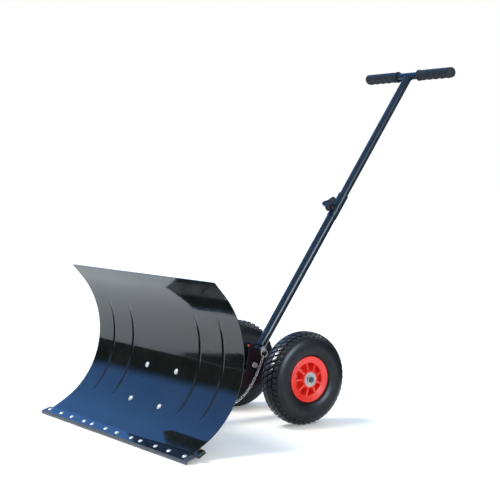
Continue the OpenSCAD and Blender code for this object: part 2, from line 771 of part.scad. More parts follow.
blade_sheet();
wear_strip();
stiffener_bar();
strip_bolts();
strip_nuts();
mount_strap_left();
mount_strap_right();
mount_bolts();
mount_nuts();
yoke_top_plate();
yoke_bottom_plate();
arm();
kingpin_boss();
kingpin();
kingpin_nut();
swing_clamp_bolt();
swing_clamp_nut();
axle_tube();
axle_shaft();
axle_washers();
axle_circlips();
pole_bracket();
pivot_bolt();
pivot_nut();
chain_anchor();
chain();
tyre_left();
inner_tube_left();
rim_outer_left();
rim_inner_left();
rim_screws_left();
bearings_left();
tyre_right();
inner_tube_right();
rim_outer_right();
rim_inner_right();
rim_screws_right();
bearings_right();
lower_tube();
clamp_collar();
tilt_bolt();
tilt_nut();
chain_ring();
upper_tube();
crossbar();
grip_left();
grip_right();
knob_body();
knob_stud();
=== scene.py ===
"""Looks of the wheeled snow shovel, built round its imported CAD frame.

Everything is in metres in the frame's own axes: +X is the object's right, the
blade faces -Y and +Z is up.
"""
import json
import math
import random

import bmesh
import bpy
from mathutils import Matrix, Vector, noise

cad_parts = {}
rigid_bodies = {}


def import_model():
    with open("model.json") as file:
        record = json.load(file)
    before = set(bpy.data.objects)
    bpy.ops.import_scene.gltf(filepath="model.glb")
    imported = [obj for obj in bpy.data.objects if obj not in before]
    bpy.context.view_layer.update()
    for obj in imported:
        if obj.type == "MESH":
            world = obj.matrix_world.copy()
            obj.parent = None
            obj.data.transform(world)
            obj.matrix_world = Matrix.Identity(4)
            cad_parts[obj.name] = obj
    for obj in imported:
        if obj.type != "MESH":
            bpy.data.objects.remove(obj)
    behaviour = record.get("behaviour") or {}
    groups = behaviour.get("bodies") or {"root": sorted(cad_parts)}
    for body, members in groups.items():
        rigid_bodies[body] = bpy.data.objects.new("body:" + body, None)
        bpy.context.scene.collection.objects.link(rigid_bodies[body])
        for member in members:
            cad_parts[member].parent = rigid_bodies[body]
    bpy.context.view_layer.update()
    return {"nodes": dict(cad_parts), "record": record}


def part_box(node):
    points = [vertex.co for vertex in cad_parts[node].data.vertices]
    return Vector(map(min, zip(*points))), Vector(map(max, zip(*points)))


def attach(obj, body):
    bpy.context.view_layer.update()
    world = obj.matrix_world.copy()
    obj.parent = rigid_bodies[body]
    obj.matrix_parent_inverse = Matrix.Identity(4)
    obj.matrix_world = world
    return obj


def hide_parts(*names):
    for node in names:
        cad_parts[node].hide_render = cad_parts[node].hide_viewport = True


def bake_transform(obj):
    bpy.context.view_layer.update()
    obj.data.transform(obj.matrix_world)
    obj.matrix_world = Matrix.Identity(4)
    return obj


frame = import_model()
scene = bpy.context.scene
MM = 0.001
X_AXIS = Vector((1, 0, 0))


# ---------------------------------------------------------------- materials

MIX_SHARE, MIX_FIRST, MIX_SECOND = 0, 6, 7              # a colour Mix node's inputs
MIX_COLOUR = 2                                          # and its output


class Nodes:
    """A node tree under construction."""

    def __init__(self, tree):
        self.tree = tree

    def add(self, kind, inputs=None, **settings):
        """A new node; each input takes a value or another node's socket."""
        node = self.tree.nodes.new(kind)
        for key, value in settings.items():
            setattr(node, key, value)
        for key, value in (inputs or {}).items():
            self.put(node.inputs[key], value)
        return node

    def put(self, socket, value):
        if isinstance(value, bpy.types.NodeSocket):
            self.tree.links.new(value, socket)
        else:
            socket.default_value = value

    def mix(self, share, first, second):
        """From the first colour to the second by a socket's share."""
        node = self.add("ShaderNodeMix", {MIX_SHARE: share}, data_type="RGBA")
        for socket, value in ((MIX_FIRST, first), (MIX_SECOND, second)):
            self.put(node.inputs[socket],
                     value if isinstance(value, bpy.types.NodeSocket) else (*value, 1))
        return node.outputs[MIX_COLOUR]


class Finish(Nodes):
    """A material under construction: short calls that add its textures."""

    def __init__(self, name):
        self.material = bpy.data.materials.new(name)
        self.material.use_nodes = True
        super().__init__(self.material.node_tree)
        self.shader = self.tree.nodes["Principled BSDF"]
        self.place = self.add("ShaderNodeTexCoord").outputs["Object"]

    def set(self, **values):
        """Sets the shader's inputs, named with underscores for spaces."""
        for key, value in values.items():
            self.put(self.shader.inputs[key.replace("_", " ")], value)

    def stretched(self, x, y, z):
        """Object coordinates scaled by axis; a small scale draws a texture out into streaks."""
        mapping = self.add("ShaderNodeMapping", {"Vector": self.place, "Scale": (x, y, z)})
        return mapping.outputs["Vector"]

    def noise(self, scale, detail=3.0, roughness=0.55, place=None):
        return self.add("ShaderNodeTexNoise", {
            "Vector": place or self.place, "Scale": scale, "Detail": detail, "Roughness": roughness,
        }).outputs["Fac"]

    def cells(self, scale):
        cells = self.add("ShaderNodeTexVoronoi", {"Vector": self.place, "Scale": scale})
        return cells.outputs["Distance"]

    def ramp(self, value, *stops):
        """Colours by value: each stop is (place, colour)."""
        node = self.add("ShaderNodeValToRGB", {"Fac": value})
        elements = node.color_ramp.elements
        while len(elements) < len(stops):
            elements.new(1.0)
        for element, (at, colour) in zip(elements, stops):
            element.position = at
            element.color = (*colour, 1)
        return node.outputs["Color"]

    def between(self, value, low, high, from_low=0.0, from_high=1.0):
        """The value's range from_low to from_high, carried over to low to high."""
        return self.add("ShaderNodeMapRange", {
            "Value": value, "From Min": from_low, "From Max": from_high, "To Min": low, "To Max": high,
        }).outputs["Result"]

    def times(self, first, second):
        return self.add("ShaderNodeMath", {0: first, 1: second}, operation="MULTIPLY").outputs[0]

    def bump(self, height, strength, distance):
        """Normals for a relief of the given height texture; the distance is in metres."""
        inputs = {"Height": height, "Strength": strength, "Distance": distance}
        return self.add("ShaderNodeBump", inputs).outputs["Normal"]

    def height_z(self):
        return self.add("ShaderNodeSeparateXYZ", {"Vector": self.place}).outputs["Z"]


def gloss_paint(name, dark, light, roughness, ior, peel, coat):
    """Sprayed enamel under a thin coat: orange peel, faint colour drift and fine scuffs."""
    f = Finish(name)
    drift = f.noise(14, 2)
    scuffs = f.noise(260, 4, 0.7, f.stretched(1, 0.25, 0.25))
    f.set(Base_Color=f.ramp(drift, (0.3, dark), (0.75, light)),
          Roughness=f.between(scuffs, roughness, roughness + 0.14, 0.45, 0.8),
          IOR=ior, Coat_Weight=coat, Coat_Roughness=0.03,
          Normal=f.bump(f.noise(420, 2), peel, 0.0004))
    return f.material


def zinc_plate():
    """Bright zinc: cloudy, slightly uneven plating with small pits."""
    f = Finish("zinc")
    clouds = f.noise(180, 4)
    f.set(Base_Color=f.ramp(clouds, (0.3, (0.55, 0.56, 0.58)), (0.7, (0.86, 0.87, 0.89))),
          Metallic=0.6, Roughness=f.between(f.noise(420, 3), 0.16, 0.36),
          Normal=f.bump(f.noise(900, 2), 0.15, 0.0003))
    return f.material


def turned_steel(name, dark, light, roughness):
    """Machined steel with fine turning marks round the X axis."""
    f = Finish(name)
    marks = f.noise(900, 2, place=f.stretched(3, 0.2, 0.2))
    f.set(Base_Color=f.ramp(f.noise(120, 3), (0.3, dark), (0.75, light)),
          Metallic=1.0, Roughness=f.between(marks, roughness, roughness + 0.15),
          Normal=f.bump(marks, 0.12, 0.0002))
    return f.material


WORN_HEIGHT = 6 * MM                                    # up to which the strip's paint is scraped


def worn_strip_paint():
    """Painted steel that is scraped bright along the edge that drags on the ground."""
    f = Finish("wear_strip_paint")
    low_edge = f.between(f.height_z(), 1.0, 0.0, 0.0, WORN_HEIGHT)
    scrapes = f.noise(120, 5, 0.75, f.stretched(0.15, 1, 1))
    wear = f.between(f.times(low_edge, scrapes), 0.0, 1.0, 0.3, 0.42)
    paint = f.ramp(f.noise(40, 3), (0.3, (0.035, 0.042, 0.052)), (0.75, (0.065, 0.075, 0.09)))
    f.set(Base_Color=f.mix(wear, paint, (0.35, 0.36, 0.38)), Metallic=wear,
          Roughness=f.between(scrapes, 0.3, 0.5, 0.3, 0.8),
          Normal=f.bump(scrapes, 0.2, 0.0004))
    return f.material


def tyre_rubber():
    """Vulcanised rubber: matt, faintly blue-black, with mould grain and dust."""
    f = Finish("tyre_rubber")
    grain = f.noise(700, 3)
    dust = f.noise(60, 5, 0.7)
    f.set(Base_Color=f.ramp(dust, (0.35, (0.005, 0.006, 0.008)), (0.8, (0.012, 0.013, 0.016))),
          Roughness=f.between(f.noise(240, 3), 0.26, 0.42), Specular_IOR_Level=0.24,
          Normal=f.bump(grain, 0.2, 0.0003))
    return f.material


def soft_rubber(name, dark, light, grain_scale, grain_depth):
    """Moulded rubber for the grips and inner tubes, with a pebbled skin."""
    f = Finish(name)
    pebbles = f.cells(grain_scale)
    f.set(Base_Color=f.ramp(f.noise(90, 4), (0.3, dark), (0.75, light)),
          Roughness=f.between(pebbles, 0.42, 0.62, 0.0, 0.7), Specular_IOR_Level=0.3,
          Normal=f.bump(pebbles, 0.3, grain_depth))
    return f.material


def moulded_plastic(name, dark, light, roughness, subsurface=0.0, specular=0.5):
    """Injection-moulded plastic with a fine spark-eroded grain."""
    f = Finish(name)
    f.set(Base_Color=f.ramp(f.noise(30, 3), (0.3, dark), (0.75, light)),
          Roughness=f.between(f.noise(300, 3), roughness, roughness + 0.16),
          Subsurface_Weight=subsurface, Subsurface_Scale=0.002, Specular_IOR_Level=specular,
          Normal=f.bump(f.noise(1100, 2), 0.12, 0.0002))
    return f.material


FINISHES = {
    "blade_paint": gloss_paint("blade_paint", (0.006, 0.007, 0.006), (0.010, 0.012, 0.010),
                               roughness=0.05, ior=1.46, peel=0.02, coat=0.08),
    "frame_paint": gloss_paint("frame_paint", (0.006, 0.008, 0.011), (0.011, 0.013, 0.017),
                               roughness=0.34, ior=1.38, peel=0.04, coat=0.04),
    "tube_paint": gloss_paint("tube_paint", (0.007, 0.015, 0.028), (0.011, 0.022, 0.039),
                              roughness=0.22, ior=1.4, peel=0.04, coat=0.05),
    "strip_paint": worn_strip_paint(),
    "zinc": zinc_plate(),
    "axle_steel": turned_steel("axle_steel", (0.05, 0.055, 0.06), (0.16, 0.17, 0.18),
                               roughness=0.3),
    "bearing_steel": turned_steel("bearing_steel", (0.34, 0.34, 0.33), (0.56, 0.56, 0.54),
                                  roughness=0.24),
    "tyre_rubber": tyre_rubber(),
    "inner_tube_rubber": soft_rubber("inner_tube_rubber", (0.012, 0.012, 0.013),
                                     (0.03, 0.03, 0.032), grain_scale=300, grain_depth=0.0003),
    "rim_plastic": moulded_plastic("rim_plastic", (0.80, 0.018, 0.012), (0.90, 0.045, 0.022),
                                   roughness=0.24, subsurface=0.08),
    "grip_rubber": soft_rubber("grip_rubber", (0.015, 0.018, 0.022), (0.026, 0.030, 0.036),
                               grain_scale=900, grain_depth=0.00005),
    "knob_plastic": moulded_plastic("knob_plastic", (0.014, 0.014, 0.015), (0.024, 0.024, 0.026),
                                    roughness=0.3, specular=0.22),
}


# ------------------------------------------------------------ mesh helpers

class Shape:
    """Points and faces of one piece, collected shell by shell."""

    def __init__(self):
        self.points = []
        self.faces = []

    def grid(self, rows, wrap_rows=False, wrap_columns=True):
        """A lattice of points; rows are equally long lists."""
        first, width = len(self.points), len(rows[0])
        for row in rows:
            self.points.extend(row)
        for i in range(len(rows) if wrap_rows else len(rows) - 1):
            here, there = first + i * width, first + (i + 1) % len(rows) * width
            for j in range(width if wrap_columns else width - 1):
                k = (j + 1) % width
                self.faces.append((here + j, here + k, there + k, there + j))

    def tube(self, rows):
        """A lattice closed round its columns, with a fan of faces on each end."""
        first, width = len(self.points), len(rows[0])
        self.grid(rows)
        self.faces.append(tuple(range(first, first + width)))
        last = len(self.points) - width
        self.faces.append(tuple(range(last, last + width)))

    def piece(self, name, slot, body=None, replaces=(), sharp=32):
        """The finished object, with normals outward and edges over the angle kept sharp."""
        mesh = bpy.data.meshes.new(name)
        mesh.from_pydata([tuple(p) for p in self.points], [], self.faces)
        work = bmesh.new()
        work.from_mesh(mesh)
        bmesh.ops.recalc_face_normals(work, faces=work.faces)
        work.to_mesh(mesh)
        work.free()
        mesh.shade_smooth()
        mesh.set_sharp_from_angle(angle=math.radians(sharp))
        mesh.materials.append(FINISHES[slot])
        made = bpy.data.objects.new(name, mesh)
        scene.collection.objects.link(made)
        if body:
            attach(made, body)
        if replaces:
            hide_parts(*replaces)
        return made


def smooth_step(low, high, value):
    """0 at low, 1 at high, with an easy start and end; low may be above high."""
    t = min(1.0, max(0.0, (value - low) / (high - low)))
    return t * t * (3 - 2 * t)


def middle(node):
    """The middle of a CAD node's box."""
    low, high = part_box(node)
    return (low + high) / 2


def along(degrees):
    """Unit vector (y, z) along a slope in the side view."""
    return Vector((math.cos(math.radians(degrees)), math.sin(math.radians(degrees))))


def turns(count):
    """Angles of so many equal steps round a circle."""
    return [2 * math.pi * k / count for k in range(count)]


def spaced(start, end, count):
    """The places between start and end that part it into equal steps."""
    return [start + (end - start) * i / count for i in range(1, count)]


# ------------------------------------------------------- the finished CAD

# how much of each edge is rounded off, in mm
BEVELS = {
    "wear_strip": 0.6, "stiffener_bar": 1.2, "mount_strap_left": 0.8, "mount_strap_right": 0.8,
    "yoke_top_plate": 0.8, "yoke_bottom_plate": 0.8, "arm": 1.6, "pole_bracket": 0.8,
    "kingpin": 0.6, "kingpin_nut": 0.8, "swing_clamp_bolt": 0.6, "swing_clamp_nut": 0.6,
    "strip_nuts": 0.4, "mount_nuts": 0.5, "pivot_bolt": 0.5, "pivot_nut": 0.5, "tilt_bolt": 0.4,
    "tilt_nut": 0.5, "clamp_collar": 0.8, "axle_washers": 0.4, "kingpin_boss": 0.6,
    "chain_anchor": 0.4,
}
SAME_POINT = 0.01 * MM
BEVEL_ANGLE = 32                                        # degrees; flatter edges are left alone


def finish_cad_nodes():
    """Gives every CAD node its finish, and rounds the edges of the hard parts."""
    for part in frame["record"]["subparts"]:
        shown = frame["nodes"][part["node"]]
        slot = part["material_slot"]
        shown.data.materials.clear()
        shown.data.materials.append(FINISHES[slot])
    for node, width in BEVELS.items():
        shown = frame["nodes"][node]
        weld = shown.modifiers.new("weld", "WELD")
        weld.merge_threshold = SAME_POINT
        bevel = shown.modifiers.new("bevel", "BEVEL")
        bevel.width = width * MM
        bevel.segments = 3
        bevel.limit_method = "ANGLE"
        bevel.angle_limit = math.radians(BEVEL_ANGLE)
        bevel.use_clamp_overlap = True
        shown.modifiers.new("normals", "WEIGHTED_NORMAL")


# ------------------------------------------------------------------ blade

# the sheet in the side view: a flat lip, a flat ramp, an arc and a flat top; slopes in degrees
SHEET = 1.8 * MM
LIP, LIP_SLOPE = 31.1 * MM, 16.3
RAMP, RAMP_SLOPE = 37.8 * MM, 29.6
BLADE_R = 233.5 * MM
TOP_RUN, TOP_SLOPE = 42.8 * MM, 131.9
FOLD_ON_LIP, FOLD_ON_RAMP = 0.07, 0.06                  # shares that the fold between them takes
# the pressed ribs: places either side of the middle, and the slopes of the sheet at their ends
RIB_X = (172 * MM, 280 * MM)
RIB_FROM, RIB_TO = 41.0, 113.0
RIB_RUN_OUT = 12                                        # degrees of slope over which a rib ends
RIB_DEPTH = 2.0 * MM
RIB_HALF = 6.6 * MM
# thin sheet is never quite flat, except where its edges are cut
WAVE_DEPTH = 0.5 * MM
WAVE_MARGIN = 30 * MM
FACE_INSET = 0.105 * MM                                 # of each face, inside the CAD sheet
# steps of the mesh
LIP_STEPS, FOLD_STEPS, FLAT_STEPS, ARC_STEPS = 9, 6, 10, 140
COLUMN_STEPS, RIB_STEPS = 74, 12


def blade_side_view():
    """Points (y, z) and slopes of the sheet's front face, from lip to top."""
    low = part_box("blade_sheet")[0]
    tip = Vector((low.y, low.z + SHEET * math.cos(math.radians(LIP_SLOPE))))
    bend = tip + LIP * along(LIP_SLOPE)
    start = bend + RAMP * along(RAMP_SLOPE)
    centre = start + BLADE_R * along(RAMP_SLOPE + 90)
    end = centre - BLADE_R * along(TOP_SLOPE + 90)
    places = []
    for i in range(LIP_STEPS):
        reach = LIP * i / LIP_STEPS * (1 - FOLD_ON_LIP)
        places.append((tip + reach * along(LIP_SLOPE), LIP_SLOPE))
    before = bend - FOLD_ON_LIP * LIP * along(LIP_SLOPE)
    after = bend + FOLD_ON_RAMP * RAMP * along(RAMP_SLOPE)
    for i in range(FOLD_STEPS + 1):
        t = i / FOLD_STEPS
        point = before * (1 - t) ** 2 + bend * 2 * t * (1 - t) + after * t * t
        places.append((point, LIP_SLOPE + (RAMP_SLOPE - LIP_SLOPE) * t))
    for i in range(1, FLAT_STEPS):
        reach = RAMP * (FOLD_ON_RAMP + (1 - FOLD_ON_RAMP) * i / FLAT_STEPS)
        places.append((bend + reach * along(RAMP_SLOPE), RAMP_SLOPE))
    for i in range(ARC_STEPS + 1):
        slope = RAMP_SLOPE + (TOP_SLOPE - RAMP_SLOPE) * i / ARC_STEPS
        places.append((centre - BLADE_R * along(slope + 90), slope))
    for i in range(1, FLAT_STEPS + 1):
        places.append((end + TOP_RUN * i / FLAT_STEPS * along(TOP_SLOPE), TOP_SLOPE))
    return places


def blade_columns(half):
    """X places across the sheet, closer together round each rib."""
    spread = RIB_HALF * 1.5
    columns = {round(-half + 2 * half * i / COLUMN_STEPS, 6) for i in range(COLUMN_STEPS + 1)}
    for x in RIB_X:
        columns = {c for c in columns if abs(abs(c) - x) > RIB_HALF * 1.6}
        for i in range(-RIB_STEPS, RIB_STEPS + 1):
            columns.add(round(x + spread * i / RIB_STEPS, 6))
            columns.add(round(-x - spread * i / RIB_STEPS, 6))
    return sorted(columns)


def rib_depth(x, slope):
    """How far the sheet is pressed back at x, where its slope is so many degrees."""
    reach = min(abs(abs(x) - rib) for rib in RIB_X) / RIB_HALF
    if reach >= 1:
        return 0.0
    run_in = (smooth_step(RIB_FROM - 1, RIB_FROM + RIB_RUN_OUT, slope)
              * smooth_step(RIB_TO + 1, RIB_TO - RIB_RUN_OUT, slope))
    return RIB_DEPTH * run_in * (math.cos(math.pi * reach) + 1) / 2


def blade_wave(x, row, half):
    """Slow unevenness of the sheet, fading out towards its lip and sides."""
    edge = smooth_step(half, half - WAVE_MARGIN, abs(x)) * smooth_step(0, 12, row)
    return WAVE_DEPTH * edge * noise.noise(Vector((x * 5.5, row * 0.035, 3.1)))


def build_blade():
    """Bent sheet with four pressed ribs that run out gently at both ends."""
    low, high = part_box("blade_sheet")
    half = (high.x - low.x) / 2
    places = blade_side_view()
    columns = blade_columns(half)

    def face(offset):
        """The sheet's surface so far behind the front face."""
        rows = []
        for i, (point, slope) in enumerate(places):
            back = along(slope - 90)
            row = []
            for x in columns:
                at = point + back * (offset + rib_depth(x, slope) + blade_wave(x, i, half))
                row.append(Vector((x, at.x, at.y)))
            rows.append(row)
        return rows

    front, back = face(FACE_INSET), face(SHEET - FACE_INSET)
    shape = Shape()
    shape.grid(front, wrap_columns=False)
    first_back = len(shape.points)
    shape.grid(back, wrap_columns=False)
    border_front = border_indices(len(places), len(columns), 0)
    border_back = border_indices(len(places), len(columns), first_back)
    # the cut edge, halfway between the faces
    edge = [(shape.points[a] + shape.points[b]) / 2 for a, b in zip(border_front, border_back)]
    first, count = len(shape.points), len(edge)
    shape.points.extend(edge)
    for i in range(count):
        k = (i + 1) % count
        shape.faces.append((border_front[i], border_front[k], first + k, first + i))
        shape.faces.append((first + i, first + k, border_back[k], border_back[i]))
    return shape.piece("blade", "blade_paint", "blade", ["blade_sheet"], sharp=40)


def border_indices(n_rows, n_columns, first):
    """Indices of a lattice's outer points, in order round it."""
    lower = [first + j for j in range(n_columns)]
    right = [first + i * n_columns + n_columns - 1 for i in range(1, n_rows - 1)]
    upper = [first + (n_rows - 1) * n_columns + j for j in range(n_columns)]
    left = [first + i * n_columns for i in range(1, n_rows - 1)]
    return lower + right + upper[::-1] + left[::-1]


# ----------------------------------------------------------------- wheels

TYRE_R = 130 * MM
TYRE_HALF = 40.5 * MM
WIDEST_R = 92 * MM                                      # where the tyre is widest
CROWN_HALF = 4 * MM                                     # the flat middle of the tread
# (axial, radius) in mm down the sidewall to the bead, and on over the lining to the crown
SIDEWALL = [(39.6, 84), (37, 75.5), (33.2, 68.5), (29.5, 64.8), (26.5, 64.3)]
LINING = [(21.8, 50.3), (17, 50.3), (16.5, 58), (22, 66), (28, 74), (32.5, 92), (28.7, 107),
          (18.2, 118), (4, 122)]
# raised rings on the sidewall in mm: radius, height and half width
SIDEWALL_RINGS = [(103.0, 0.7, 1.2), (97.5, 0.35, 0.8), (78.0, 0.8, 1.5), (70.0, 0.5, 1.0)]
TREAD_PITCHES = 46
TREAD_DEPTH = 3.6 * MM
GROOVE_FADE = (26 * MM, 43 * MM)                        # the grooves run out along the shoulder
SHOULDER_END = 36.5 * MM
# rows of tread blocks: from and to in mm from the tyre's middle, shift and slant in pitches
TREAD_ROWS = [
    (-35.8, -25.2, 0.5, 0.0), (-21.6, -11.2, 0.0, 0.35), (-7.8, 7.8, 0.5, 0.45),
    (11.2, 21.6, 0.0, 0.35), (25.2, 35.8, 0.5, 0.0),
]
BLOCK_WALL = 0.45                                       # mm that a block widens towards its foot
# the lines across one pitch of tread, in pitches: six on a block, then two in the gap
BLOCK_LINES = (0.0, 0.03, 0.22, 0.42, 0.62, 0.65, 0.69, 0.96)
BLOCK_TOP = 6
BLOCK_EDGE = 0.25 * MM                                  # its first and last lines lie this much lower
ARCH_STEPS, SIDEWALL_STEPS, SIDEWALL_ROWS = 60, 25, 34


def tyre_section():
    """Half a tyre's outer section as (axial, radius), from the tread's middle to the bead."""
    outline = [(CROWN_HALF * i / 4, TYRE_R) for i in range(4)]
    for i in range(ARCH_STEPS + 1):
        a = math.radians(90 * i / ARCH_STEPS)
        outline.append((CROWN_HALF + (TYRE_HALF - CROWN_HALF) * math.sin(a),
                        WIDEST_R + (TYRE_R - WIDEST_R) * math.cos(a)))
    corners = [(TYRE_HALF, WIDEST_R)] + [(axial * MM, radius * MM) for axial, radius in SIDEWALL]
    for i in range(1, SIDEWALL_STEPS + 1):
        t = i / SIDEWALL_STEPS * (len(corners) - 1)
        k = min(int(t), len(corners) - 2)
        before, after = corners[max(k - 1, 0)], corners[min(k + 2, len(corners) - 1)]
        outline.append(tuple(hermite(before[c], corners[k][c], corners[k + 1][c], after[c], t - k)
                             for c in (0, 1)))
    return outline


def hermite(p0, p1, p2, p3, t):
    """A smooth run from p1 at t = 0 to p2 at t = 1, given the points before and after."""
    return 0.5 * (2 * p1 + (p2 - p0) * t + (2 * p0 - 5 * p1 + 4 * p2 - p3) * t ** 2
                  + (3 * p1 - p0 - 3 * p2 + p3) * t ** 3)


class Outline:
    """A polyline that is read by its length."""

    def __init__(self, points):
        self.points = [Vector(p) for p in points]
        self.lengths = [0.0]
        for a, b in zip(self.points, self.points[1:]):
            self.lengths.append(self.lengths[-1] + (b - a).length)
        self.length = self.lengths[-1]

    def at(self, s):
        """Point and outward normal at length s; a negative s is the mirrored half."""
        side = -1 if s < 0 else 1
        s = min(abs(s), self.length)
        last = len(self.lengths) - 1
        k = next((i for i in range(1, last) if self.lengths[i] >= s), last)
        span = self.lengths[k] - self.lengths[k - 1]
        t = (s - self.lengths[k - 1]) / span if span else 0.0
        point = self.points[k - 1].lerp(self.points[k], t)
        run = (self.points[k] - self.points[k - 1]).normalized()
        return Vector((side * point.x, point.y)), Vector((side * -run.y, run.x))


def tread_rows():
    """(place, shift in pitches, stands on blocks) of each line round the tread."""
    rows = []
    for start, end, shift, slant in TREAD_ROWS:
        steps = max(3, round((end - start) / 3))
        rows.append((start - BLOCK_WALL, shift - slant / 2, False))
        for i in range(steps + 1):
            at = start + (end - start) * i / steps
            rows.append((at, shift + slant * (i / steps - 0.5), True))
        rows.append((end + BLOCK_WALL, shift + slant / 2, False))
    return [(s * MM, shift, on_block) for s, shift, on_block in rows]


def build_tyre(side, name):
    """Pneumatic tyre: staggered tread blocks, ringed sidewalls, open inside."""
    outline = Outline(tyre_section())
    centre = middle(f"tyre_{name}")
    pitch = 2 * math.pi / TREAD_PITCHES

    def at_turn(axial, radius, turn):
        return centre + Vector((side * axial, radius * math.sin(turn), radius * math.cos(turn)))

    def ring_height(radius):
        """How far the sidewall's rings stand out at a radius."""
        return sum(height * MM * math.exp(-((radius / MM - at) / width) ** 2)
                   for at, height, width in SIDEWALL_RINGS)

    def ring_of(s, shift, on_block):
        """One line round the tyre, so far along its section from the tread's middle."""
        point, normal = outline.at(s)
        row = []
        for p in range(TREAD_PITCHES):
            for line, share in enumerate(BLOCK_LINES):
                depth = TREAD_DEPTH * (1 - smooth_step(*GROOVE_FADE, abs(s)))
                if on_block and line < BLOCK_TOP:
                    depth = BLOCK_EDGE if line in (0, BLOCK_TOP - 1) else 0.0
                if abs(s) > SHOULDER_END:
                    depth -= ring_height(point.y)
                at = point - normal * depth
                row.append(at_turn(at.x, at.y, (p + share + shift) * pitch))
        return row

    spread = [SHOULDER_END + (outline.length - SHOULDER_END) * i / SIDEWALL_ROWS
              for i in range(1, SIDEWALL_ROWS + 1)]
    rows = [ring_of(-s, 0.5, False) for s in reversed(spread)]
    rows += [ring_of(*row) for row in tread_rows()]
    rows += [ring_of(s, 0.5, False) for s in spread]
    for axial, radius in LINING + [(-a, r) for a, r in reversed(LINING)]:
        rows.append([at_turn(axial * MM, radius * MM, (p + share + 0.5) * pitch)
                     for p in range(TREAD_PITCHES) for share in BLOCK_LINES])
    shape = Shape()
    shape.grid(rows, wrap_rows=True)
    return shape.piece(f"pneumatic_tyre_{name}", "tyre_rubber", f"wheel_{name}", [f"tyre_{name}"],
                       sharp=38)


RIM_RIBS = 9
RIM_RIB_HALF = 2.4 * MM
RIM_RIB_DRAFT = 1.0 * MM
RIM_RIB_CROWN = 0.15                                    # mm that a rib's middle stands proud
POCKET_LINES = 8
# half a rim in mm: radius, height on a rib and height in a pocket, from the bearing's seat out
# to the flange and back along the joint between the halves
RIM_FACE = [
    (12, 22, 22), (20, 22, 22), (20, 33.5, 33.5), (20.5, 34, 34), (23.6, 34, 34),
    (24.4, 33.4, 33.4), (24.9, 31.4, 31.0), (25.6, 30.6, 24), (26.6, 30.2, 13), (27.6, 30.0, 10),
    (29.5, 29.6, 9), (34, 28.8, 8.6), (39, 28.0, 8.8), (42.6, 27.4, 9.6), (44.2, 27.1, 12),
    (45.0, 26.9, 24.6), (45.8, 26.8, 26.4), (47.2, 27.0, 27.0), (52, 28.4, 28.4),
    (57, 29.8, 29.8), (60.5, 30.8, 30.8), (62.3, 31.0, 31.0), (63.4, 30.4, 30.4),
    (63.7, 29.6, 29.6), (63.7, 28.5, 28.5), (53, 24.5, 24.5), (50, 22, 22), (50, 0.02, 0.02),
    (12, 0.02, 0.02),
]


def build_rim(side, name, outward, node):
    """One half of the rim: a hub, nine thin ribs over deep pockets, a dished flange."""
    centre = middle(f"tyre_{name}")
    facing = side if outward else -side
    rows = []
    for radius, on_rib, in_pocket in RIM_FACE:
        half = math.asin(RIM_RIB_HALF / (radius * MM))
        wall = math.asin((RIM_RIB_HALF + RIM_RIB_DRAFT) / (radius * MM))
        gap = 2 * math.pi / RIM_RIBS - 2 * wall
        ridge = on_rib + (RIM_RIB_CROWN if on_rib != in_pocket else 0)
        lines = [(-half, on_rib), (0.0, ridge), (half, on_rib)]
        for k in range(POCKET_LINES + 1):
            lines.append((wall + gap * k / POCKET_LINES, in_pocket))
        row = []
        for i in range(RIM_RIBS):
            rib = math.pi + 2 * math.pi * i / RIM_RIBS          # the first rib points forward
            for turn, height in lines:
                a = rib + turn
                row.append(centre + Vector((facing * height * MM, radius * MM * math.cos(a),
                                            facing * radius * MM * math.sin(a))))
        rows.append(row)
    shape = Shape()
    shape.grid(rows, wrap_rows=True)
    return shape.piece(f"rim_{'outer' if outward else 'inner'}_half_{name}", "rim_plastic",
                       f"wheel_{name}", [node], sharp=34)


# ---------------------------------------------------------- pole and welds

POLE_LEAN = 35.3                                        # degrees from upright, towards the user
POLE_UP = Vector((0, math.sin(math.radians(POLE_LEAN)), math.cos(math.radians(POLE_LEAN))))
POLE_FRONT = X_AXIS.cross(POLE_UP)                      # square to the pole, forward and up
UPPER_TUBE_R = 12.5 * MM
CROSSBAR_R = 11 * MM
BRACKET_BASE = 72 * MM                                  # length of the bracket's foot on the arm
AXLE_TUBE_R = 15 * MM
BOSS_R = 19 * MM
COLLAR_AT = 510 * MM                                    # up the pole from its pivot
COLLAR_SEAM_R = 14.6 * MM
BEAD_SIDES = 8
OFF_PATH = Vector((0.31, 0.53, 0.79))                   # a direction that no weld runs along


def weld_bead(shape, path, width, seed):
    """A closed bead of weld along a path, swollen a little at every ripple."""
    rng = random.Random(seed)
    rows = []
    count = len(path)
    for i, at in enumerate(path):
        ahead = (path[(i + 1) % count] - path[i - 1]).normalized()
        side = ahead.cross(OFF_PATH).normalized()
        up = ahead.cross(side)
        radius = width / 2 * (1 + 0.16 * math.sin(i * 1.9) + 0.08 * (rng.random() - 0.5))
        rows.append([at + radius * (math.cos(a) * side + math.sin(a) * up)
                     for a in turns(BEAD_SIDES)])
    shape.grid(rows, wrap_rows=True)


def dense(corners, step):
    """Points about a step apart, round a closed polygon."""
    path = []
    for a, b in zip(corners, corners[1:] + corners[:1]):
        count = max(1, round((b - a).length / step))
        path += [a.lerp(b, i / count) for i in range(count)]
    return path


def build_crossbar_weld():
    """The saddle-shaped seam where the upper tube meets the crossbar."""
    crossbar = middle("crossbar")
    saddle = []
    for a in turns(90):
        across, forward = UPPER_TUBE_R * math.cos(a), UPPER_TUBE_R * math.sin(a)
        drop = math.sqrt(max(0.0, CROSSBAR_R ** 2 - forward ** 2))
        saddle.append(crossbar + across * 1.03 * X_AXIS + forward * 0.97 * POLE_FRONT - POLE_UP * drop)
    shape = Shape()
    weld_bead(shape, saddle, width=4.2 * MM, seed=1)
    shape.piece("weld_crossbar", "tube_paint", "handle")


